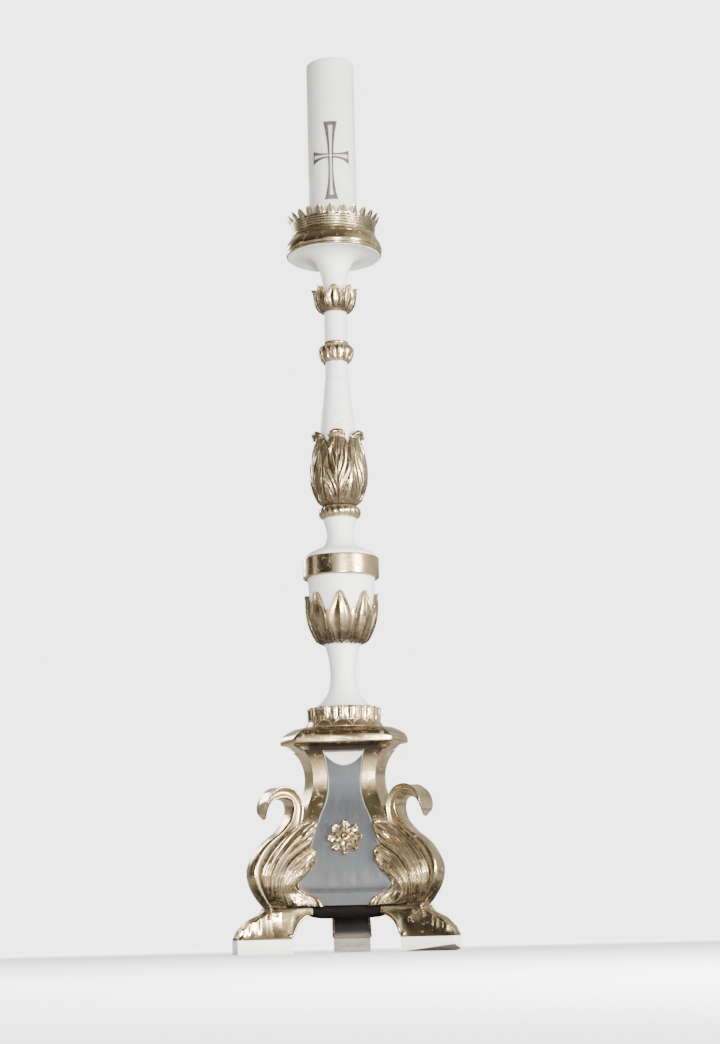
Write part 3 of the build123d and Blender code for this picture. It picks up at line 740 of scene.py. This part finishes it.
def scroll_strap(angle):
    """The S-shaped strap of a leg: flat back with a bead along each edge, hollow sides, rounded front."""
    outer, inner, half = np.split(through(SCROLL, 13), (2, 4), axis=1)
    section = spline([(0.03, 0), (0.02, 0.55), (-0.03, 0.84), (-0.02, 0.97), (0.07, 1.04), (0.17, 0.99),
                      (0.27, 0.87), (0.46, 0.79), (0.66, 0.81), (0.84, 0.91), (0.95, 0.93), (1.03, 0.78),
                      (1.07, 0.4), (1.08, 0)], 40)
    depth, across = np.vstack([section, section[-2:0:-1] * (1, -1)]).T[:, None, :]
    line = inner[:, None, :] + depth[:, :, None] * (outer - inner)[:, None, :]
    ripple = 0.105 * np.sin(60 * np.linspace(0, 1, len(outer))[:, None] + 3 * across)
    return tube(placed(line[:, :, 0] + ripple, across * half, line[:, :, 1] + ripple, angle))


def from_end(grid, axis):
    """Distance along a grid of points from each to the last one."""
    step = np.linalg.norm(np.diff(grid, axis=axis), axis=2)
    total = np.flip(np.cumsum(np.flip(step, axis), axis=axis), axis)
    return np.pad(total, [(0, 1), (0, 0)] if axis == 0 else [(0, 0), (0, 1)])


def flank_leaf(mirror, angle):
    """Two-lobed acanthus leaf on one flank of a leg, and how much painted shade each of its points gets."""
    net = np.stack([through(line, 18) for line in LEAF_FLOW])
    grid = np.stack([through(net[:, k], 14) for k in range(net.shape[1])], axis=1)
    a, t = np.linspace(0, 1, grid.shape[0])[:, None], np.linspace(0, 1, grid.shape[1])[None, :]
    x, z = grid[:, :, 0], grid[:, :, 1]
    # From the strap's edge at a = 0 to the long side's face at a = 1
    spine, height, _, _, half = zip(*SCROLL[:9])
    band = SIN_30 * (np.interp(z, height, spine) - 9) + COS_30 * (np.interp(z, height, half) - 0.5)
    share = (1 - a) ** (1 + 2 * t)
    depth = (side_distance(z) + 2.5) * (1 - share) + band * share
    depth = depth + np.interp(z, *zip(*BULGE)) * np.sin(math.pi * (1 - a)) ** 0.9 * (1 - t ** 3)
    # Flutes with sharp ridges between them, and fine tool marks
    gap = np.abs(wave(a * 8 + 0.35 * np.sin(3 * t)))
    deep = 3.0 * (0.35 + 0.65 * smooth(t, 0.03, 0.3)) * (1 - 0.5 * smooth(t, 0.75, 1))
    deep = deep * smooth(a, 0.02, 0.12)
    depth = depth - deep * np.sqrt(np.clip(1 - (1 - gap) ** 2, 0, 1)) + 1.5
    tooled = smooth(t, 0.12, 0.3) * smooth(0.85 - t, 0, 0.3)
    depth = depth + 0.55 * np.cos(TAU * 26 * a + 2.5 * np.sin(4 * t)) * tooled
    # Cleft between the lobes, a swell beside it, and an eye in each lobe
    depth = depth + (3.2 * bell(a, 0.61, 0.06) - 5.5 * bell(a, 0.50, 0.03)) * smooth(t, 0.35, 0.8)
    for lobe in (0.26, 0.84):
        depth = depth + 3.4 * bell(a, lobe, 0.10) * bell(t, 0.90, 0.09)
        q = np.hypot((a - lobe) / 0.030, (t - 0.88) / 0.075)
        depth = depth + 1.4 * bell(q, 0, 1) - 2.2 * bell(q, 1.5, 0.45)
    # Raised rim with a groove inside it, rounded off at the very edge
    from_edge, from_tip = from_end(grid, 0), from_end(grid, 1)
    depth = depth + 3.0 * bell(from_edge, 3.4, 2.4) - 2.4 * bell(from_edge, 8.2, 1.3)
    rim = np.minimum(from_edge, from_tip + 1.2)
    depth = depth + 1.3 * bell(from_tip, 2.0, 1.2) - 2.6 * np.clip(1 - rim / 1.6, 0, 1) ** 2
    sheets = []
    for d in (depth, depth - 9.5 - 5 * share):
        u, v = COS_30 * x + SIN_30 * d, COS_30 * d - SIN_30 * x
        sheets.append(placed(u, mirror * v, z, angle))
    # Painted shade: the leaf darkens low down, where it bulges downwards, and along its grooves
    leaf_shade = 0.85 * (1 - smooth(t - 0.20 * gap + 0.14 * a, 0.05, 0.26))
    leaf_shade = np.maximum(leaf_shade, 0.5 * gap * smooth(t, 0.25, 0.5) * (1 - smooth(t, 0.6, 0.85)))
    surface = pillow(*sheets)
    return surface, first_only(leaf_shade, surface)


def leg_piece(side, angle):
    """A whole leg: strap and two flank leaves."""
    strap = scroll_strap(angle)
    leaves = [flank_leaf(mirror, angle) for mirror in (1, -1)]
    # Painted dark reflection: the strap darkens towards its lower end
    low_end = 0.62 * (1 - smooth(strap[0][:, 2], 74, 138))
    dirt = np.concatenate([low_end] + [leaf_shade for _, leaf_shade in leaves])
    surface = join([strap] + [leaf for leaf, _ in leaves])
    make(f"scroll_leg_{side}", f"leg_{side}", surface, GILT, dirt=dirt)


def bead_line(path, radius):
    """A round bead along a path, thinning at both ends."""
    ahead = np.gradient(path, axis=0)
    ahead /= np.linalg.norm(ahead, axis=1)[:, None]
    side = np.cross(ahead, (0.31, 0.17, 0.93))
    side /= np.linalg.norm(side, axis=1)[:, None]
    up = np.cross(ahead, side)
    phi = turns(10)
    out = np.cos(phi) * side[:, None, :] + np.sin(phi) * up[:, None, :]
    r = radius * np.clip(1 - np.linspace(-1, 1, len(path)) ** 8, 0.15, 1)
    return tube(path[:, None, :] + r[:, None, None] * out)


def ball(centre, radius, squash=1.0):
    """Small round knob."""
    latitude = np.linspace(0.12 - QUARTER, QUARTER - 0.12, 12)[:, None]
    return tube(centre + around(radius * np.cos(latitude), turns(18).T, squash * radius * np.sin(latitude)))


def paw_foot(side, angle):
    """Paw: waisted ankle, sloping instep, four toes with claws, and a bead along the arch."""
    along = np.concatenate([np.linspace(66.5, 100, 46), np.linspace(100.6, 171, 110)])
    top = np.pad(np.interp(along, *zip(*FOOT_TOP)), 4, "edge")
    top = np.convolve(top, np.ones(9) / 9, "valid")[:, None]
    u, q = along[:, None], np.linspace(0, 1, 26)[None, :]
    under, low_half, high_half = (np.interp(u, *zip(*line))
                                  for line in (FOOT_UNDER, FOOT_LOW_HALF, FOOT_HIGH_HALF))
    # Up one side, which ends at q = 0.72, and over the rounded top
    lift, over = np.clip(q / 0.72, 0, 1), np.clip((q - 0.72) / 0.28, 0, 1) * QUARTER
    half = low_half + (high_half - low_half) * np.sin(lift * QUARTER) ** 0.8
    v = half * np.cos(over)
    z = under + (top - under) * np.where(q < 0.72, 0.80 * lift, 0.80 + 0.20 * np.sin(over))
    toe = smooth(u, 128, 144)
    groove = bell(v / half, 0.0, 0.12) + bell(v / half, 0.55, 0.12)
    claw = 1.8 * bell(u, 152, 4.5) + 1.5 * bell(u, 165.5, 2.6)
    hair = 0.8 * (1 - toe) * np.cos(v * 1.1) * smooth(u, 96, 112)
    z = np.clip(z + smooth(q, 0.45, 0.8) * (toe * (claw - 3.0 * groove) + hair), PLINTH_TOP + 0.02, 62.6)
    v = v + smooth(q, 0.1, 0.5) * toe * 0.9 * np.sin((u - 140) * 0.42)
    sole = np.array([[-0.985, -0.95, -0.3, 0.3, 0.95, 0.985]]) * low_half
    v = np.hstack([v, -v[:, -2::-1], sole])
    z = np.hstack([z, z[:, -2::-1], under + 0 * sole])
    # Bare wood on the sole and the inner end, which the gilding paints near black higher up as painted
    # shadow
    bare = np.zeros(v.shape)
    bare[:, -5:-1] = 1.0
    bare[0, :] = 1.0
    ankle = 0.85 * bell(u, 117, 11) * smooth(z, 34, 54)
    parts = [tube(placed(u, v, z, angle))]
    arch = spline([(101, 22), (97.2, 24.5), (94.6, 31), (90.5, 38.8), (84.5, 45), (77, 49.4),
                   (68, 51.8)], 60)
    for mirror in (1, -1):
        edge = mirror * np.interp(arch[:, 0], [66, 98, 150], [24.6, 26, 14.5])
        parts.append(bead_line(placed(arch[:, 0], edge, arch[:, 1], angle), 1.9))
        parts.append(ball(placed(101.5, mirror * 24.6, 23.0, angle), 3.6))
        for k in range(5):
            knob = placed(123.5 + 0.9 * k, mirror * (13.2 + 0.45 * k), 59.0 - 3.1 * k, angle)
            parts.append(ball(knob, 2.5 - 0.22 * k, 0.8))
    surface = join(parts)
    make(f"paw_foot_{side}", f"foot_{side}", surface, GILT, bare=first_only(bare, surface),
         dirt=first_only(ankle, surface))


def hex_radius(phi, side, corner):
    """Radius of the three-sided plan with cut corners, with its arrises slightly softened."""
    soft = 70.0
    total = 0
    for angles, distance in ((SIDE_ANGLES, side), (LEG_ANGLES, corner)):
        for angle in angles.values():
            c = np.cos(phi - math.radians(angle))
            total = total + np.where(c > 0.05, np.clip(c, 0.05, 1) / distance, 0.0) ** soft
    return total ** (-1 / soft)


def cornice_piece():
    """Moulded slab: recess under each long side painted dark as shade, corners swept up from the stiles,
    ovolo above.
    """
    # Distance to a long side, distance to a cut corner, height
    line = runs([(30, 30, 269.5), (48, 66, 269.5)],
                [(49.5, 71.5, 271.5), (50.2, 76, 274.5), (51.5, 81.5, 277.8), (54.5, 86.5, 280.4)],
                [(62.6, 88.8, 281.0)],
                [(63.9, 89.7, 282.4), (64.3, 89.8, 286.5), (64.0, 87.6, 291), (62.6, 83, 295.6),
                 (58.6, 77, 299.8), (53.4, 72.5, 302.4)],
                [(52.4, 71.6, 302.8)], [(50.5, 69, 304)], [(30, 30, 304)])
    phi = turns(1080)
    side, corner, z = line.T[:, None, :]
    r = hex_radius(phi, side, corner)
    sixth = TAU / 6
    off = np.abs(np.mod(phi + QUARTER + sixth, 2 * sixth) - sixth)
    above = 1 - smooth(r * np.sin(off), 54, 58)
    recess = above * smooth(z, 270.2, 271.6) * (1 - smooth(z, 279.6, 280.9)) * (r > 45)
    r = r - 8.0 * recess / np.cos(off)
    upper = smooth(z, 291, 294) * (1 - smooth(z, 302.4, 303.4)) * (r > 45)
    r = r + (z > 280) * 0.25 * np.sin(7 * phi + 0.2 * z) * np.sin(0.35 * z)
    # Painted shade fills the recess; the ovolo's upper band is painted darker as a dark reflection, speckled
    # like worn gilding
    make("cornice_moulded", "cornice", ring(around(r, phi, z)), GILT, dirt=np.maximum(recess, 0.55 * upper))


def base_block_piece():
    """Block under the floor board that ties the feet together, rounded away underneath, painted near black
    as the shade under the pedestal.
    """
    line = runs([(20, 62.4), (46.8, 62.4)], [(46.8, 60.4)],
                [(46.0, 58.4), (43.4, 54.0), (38.6, 49.8), (31.5, 47.0), (24, 46.1)],
                [(20, 46.1)], [(20, 62.4)])[:-1]
    phi = turns(720)
    side, z = line.T[:, None, :]
    grid = around(hex_radius(phi, side, 1.40 * side), phi, z)
    make("base_block_shade_dark", "base_block", ring(grid), SHADE_DARK_WOOD)


def panel_piece(side, angle):
    """Painted panel: painted highlight along its edge and a pale lunette at its head."""
    rows = spline([(50, 79.2), (60, 86), (63, 93), (59, 106), (50, 132), (42, 160), (35, 182), (28, 199),
                   (24, 216), (23.5, 232), (25.5, 252), (29, 271.8)], 240)
    half, z = (rows - (0.15, 0)).T[:, None, :]
    k = np.linspace(-1, 1, 121)[:, None]
    x = k * half
    from_edge = half - np.abs(x)
    out = side_distance(z) - 2.0 + 0.25 * np.sin(0.11 * z + 2.5 * k) - 0.5 * smooth(-from_edge, -1.0, 0)
    arc = 252.0 + 16.0 * (x / 27.0) ** 2
    out = out + 0.5 * smooth(z - arc, -0.4, 0.4)
    lunette = smooth(z - arc, -0.3, 0.3) * smooth(269.4 - z, -0.3, 0.5)
    # Painted highlight: a pale line just inside the panel's edge
    line = 0.42 * smooth(-from_edge, -2.3, -1.7) * smooth(from_edge, 0.5, 0.9)
    surface = pillow(placed(out, x, z, angle), placed(side_distance(z) - 4.0, x, z, angle))
    light = first_only(np.maximum(lunette, line), surface)
    make(f"painted_panel_{side}", f"panel_{side}", surface, PANEL, light=light)


def rosette_piece(side, angle):
    """Carved flower in two tiers of petals with a drilled heart, square to the panel's slope."""
    petals, centre, slope = 8, 152.0, math.radians(15.0)
    phi = turns(480)
    s = np.linspace(0.02, 1, 90)[None, :]
    u, w = np.abs(wave(phi / TAU * petals)), np.abs(wave(phi / TAU * petals + 0.5))
    rho = (24.3 - 6.8 * u ** 1.5) * s
    outer = (5.2 - 1.6 * u - 1.3 * bell(u, 0, 0.14)) * smooth(rho, 6, 13)
    outer = outer + 1.8 * smooth(rho, 17, 22) * (1 - u)
    reach = 15.0 - 4.6 * w ** 1.4
    inner = (9.2 - 2.4 * w - 1.6 * bell(w, 0, 0.16)) * (1 - smooth(rho, reach - 1.2, reach + 0.6))
    h = np.maximum(outer, inner)
    h = np.where(rho < 6.0, np.maximum(h, 10.4 - 0.05 * rho ** 2), h) - 4.2 * bell(rho, 0, 1.9)
    holes = bell(rho, 14.6, 1.6) * bell(u, 1, 0.25)
    h = np.clip(h - 4.0 * holes, 0.6, 12) - 1.4 * smooth(s, 0.955, 1.0)
    across, up = rho * np.cos(phi), rho * np.sin(phi)
    sheets = []
    for height in (h, -2.0 + 0 * h):
        u_out = side_distance(centre) - 2.0 + height * math.cos(slope) - up * math.sin(slope)
        z = centre + height * math.sin(slope) + up * math.cos(slope)
        sheets.append(placed(u_out, across, z, angle))
    make(f"rosette_carved_{side}", f"rosette_{side}", tube(np.swapaxes(folded(*sheets), 0, 1)), GILT)


def candle_cross():
    """Flared cross of dark wax laid on the candle, with a pale line down the middle of each arm."""
    candle_radius = 35.0
    s, c = np.linspace(-1, 1, 200)[:, None], np.linspace(-1, 1, 25)[None, :]
    post_half = 3.6 + 6.6 * np.abs(s + 0.12 * (1 - s * s)) ** 2.6
    beam_half = 3.6 + 7.4 * np.abs(s) ** 2.6
    edge = np.clip((1 - np.maximum(np.abs(s), np.abs(c))) / 0.12, 0, 1)
    groove = bell(np.abs(c), 0.42, 0.10) * smooth(0.93 - np.abs(s), 0, 0.05)
    line = (1 - smooth(np.abs(c), 0.30, 0.38)) * smooth(0.9 - np.abs(s), 0, 0.02)
    parts = []
    for x, z, proud in ((post_half * c, 1130 + 60 * s, 1.2), (28.5 * s, 1137 + beam_half * c, 1.12)):
        angle = x / candle_radius - QUARTER
        radius = candle_radius + proud - 0.7 * (1 - edge) ** 2 - 0.45 * groove
        parts.append(pillow(around(radius, angle, z), around(candle_radius - 0.2, angle, z)))
    light = np.tile(first_only(line, parts[0]), 2)
    make("candle_cross_relief", "candle_cross", join(parts), CROSS_WAX, body="candle", light=light)


for side, angle in LEG_ANGLES.items():
    leg_piece(side, angle)
    paw_foot(side, angle)
for side, angle in SIDE_ANGLES.items():
    panel_piece(side, angle)
    rosette_piece(side, angle)
cornice_piece()
base_block_piece()
candle_cross()


# ---- carried-over CAD nodes
def softened(node, name, material, width):
    """Copy of a CAD node's shape with its sharp edges rubbed down."""
    obj = bpy.data.objects.new(name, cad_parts[node].data.copy())
    obj.data.materials.clear()
    obj.data.materials.append(material)
    bpy.context.scene.collection.objects.link(obj)
    edges = obj.modifiers.new("edges", "BEVEL")
    edges.width, edges.segments = width * MM, 3
    edges.limit_method, edges.angle_limit = "ANGLE", math.radians(30)
    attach(obj, "stand")
    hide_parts(node)


for side in LEG_ANGLES:
    softened(f"plinth_{side}", f"plinth_block_{side}", WHITE_BLOCK, 1.0)
    softened(f"stile_{side}", f"stile_gilt_{side}", GILT_STILE, 0.7)
softened("floor_board", "floor_board_painted", PANEL, 1.2)

for node, material in {"foot_dowels": WOOD, "rosette_pins": IRON, "spike": IRON, "gallery_tray": BRASS,
                       "candle": WAX, "wick": COTTON, "pedestal_core": WOOD}.items():
    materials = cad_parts[node].data.materials
    materials.clear()
    materials.append(material)


# ---- studio
BACKDROP = 4.0


def pale_ground():
    """Plain pale ground: as bright as the backdrop far off, and dim close by in the gilding."""
    n = Paint("pale_ground")
    tone = n.mix(n.ramp(n.noise(1.5, 3, 0.5), 0.3, 0.7), (0.62, 0.62, 0.61), (0.60, 0.60, 0.595))
    ray = n.node("ShaderNodeLightPath").outputs
    away = n.vector("LENGTH", n.place, (0, 0, 0), "Value")
    # Painted shadow: in reflections the ground is dark close to the object and pale farther off
    reflected = n.mix(n.ramp(away, 0.20, 0.55), (0.07, 0.07, 0.07), (0.70, 0.70, 0.70))
    glow = n.times(ray["Is Camera Ray"], n.ramp(away, 0.25, 4.0, 1.15, BACKDROP))
    return n.finish(Base_Color=n.mix(ray["Is Glossy Ray"], tone, reflected), Roughness=0.6,
                    Emission_Color=(1.0, 1.0, 1.0), Emission_Strength=glow)


def lay_ground(half, thick):
    """Square slab with its top at height 0."""
    verts = [(x, y, z) for x in (-half, half) for y in (-half, half) for z in (-thick, 0)]
    faces = [(0, 1, 3, 2), (4, 6, 7, 5), (0, 4, 5, 1), (2, 3, 7, 6), (0, 2, 6, 4), (1, 5, 7, 3)]
    mesh = bpy.data.meshes.new("ground")
    mesh.from_pydata(verts, [], faces)
    mesh.materials.append(pale_ground())
    ground = bpy.data.objects.new("ground", mesh)
    bpy.context.scene.collection.objects.link(ground)


def light_room():
    """Room round the object: bright to the right and in front, dim to the left, with a pale backdrop."""
    world = bpy.data.worlds.new("studio")
    world.use_nodes = True
    sky = Nodes(world.node_tree)
    x, y, z = sky.split(sky.node("ShaderNodeTexCoord").outputs["Generated"])
    right = sky.ramp(x, 0.25, 0.95, 0.045, 0.9)
    toward = sky.math("SUBTRACT", sky.times(x, 0.55), sky.times(y, 0.83))
    front = sky.times(sky.ramp(toward, 0.45, 0.85, 0.0, 1.5), sky.ramp(z, 0.15, 0.5, 1.0, 0.0))
    wall = sky.most(right, sky.most(front, sky.ramp(y, 0.2, 0.8, 0.0, 0.75)))
    dome = sky.plus(sky.ramp(z, 0.3, 1.0, 0.0, 0.2), wall)
    seen = sky.node("ShaderNodeLightPath").outputs["Is Camera Ray"]
    background = world.node_tree.nodes["Background"].inputs
    sky.put(background["Strength"], sky.most(dome, sky.times(seen, BACKDROP)))
    sky.put(background["Color"], (1.0, 1.0, 1.0))
    bpy.context.scene.world = world


def look(obj, ahead):
    """Turns an object so that it looks along a direction, and adds it to the scene."""
    obj.rotation_mode = "QUATERNION"
    obj.rotation_quaternion = ahead.to_track_quat("-Z", "Y")
    bpy.context.scene.collection.objects.link(obj)


def area_light(name, place, aim_height, power, wide, tall):
    """Soft area light looking at the shaft, gridded so that it spills little on the ground beside it."""
    data = bpy.data.lights.new(name, "AREA")
    data.shape, data.size, data.size_y = "RECTANGLE", wide, tall
    data.energy, data.spread = power, math.radians(120)
    obj = bpy.data.objects.new(name, data)
    obj.location = place
    look(obj, Vector((0, 0, aim_height)) - Vector(place))


lay_ground(30, 0.05)
light_room()
area_light("softbox_right", (2.1, -1.55, 0.85), 0.5, 58, 0.8, 1.4)
area_light("flash", (0.50, -2.75, 0.32), 0.5, 72, 0.5, 0.5)
area_light("left_edge", (-2.3, -0.4, 0.9), 0.55, 1.3, 0.25, 1.4)
area_light("back_fill", (-1.9, 2.3, 1.6), 0.5, 20, 1.2, 1.2)

# ---- camera
AZIMUTH, PITCH, ROLL, YAW = (math.radians(angle) for angle in (2.5, 11.38, -1.38, -0.56))
DISTANCE, EYE = 2.926, 0.010
camera_data = bpy.data.cameras.new("camera")
camera_data.sensor_width, camera_data.lens = 36, 72.413793
camera = bpy.data.objects.new("camera", camera_data)
camera.location = (DISTANCE * math.sin(AZIMUTH), -DISTANCE * math.cos(AZIMUTH), EYE)
heading, level = AZIMUTH + YAW, math.cos(PITCH)
look(camera, Vector((-math.sin(heading) * level, math.cos(heading) * level, math.sin(PITCH))))
camera.rotation_quaternion = camera.rotation_quaternion @ Quaternion((0, 0, 1), ROLL)
bpy.context.scene.camera = camera
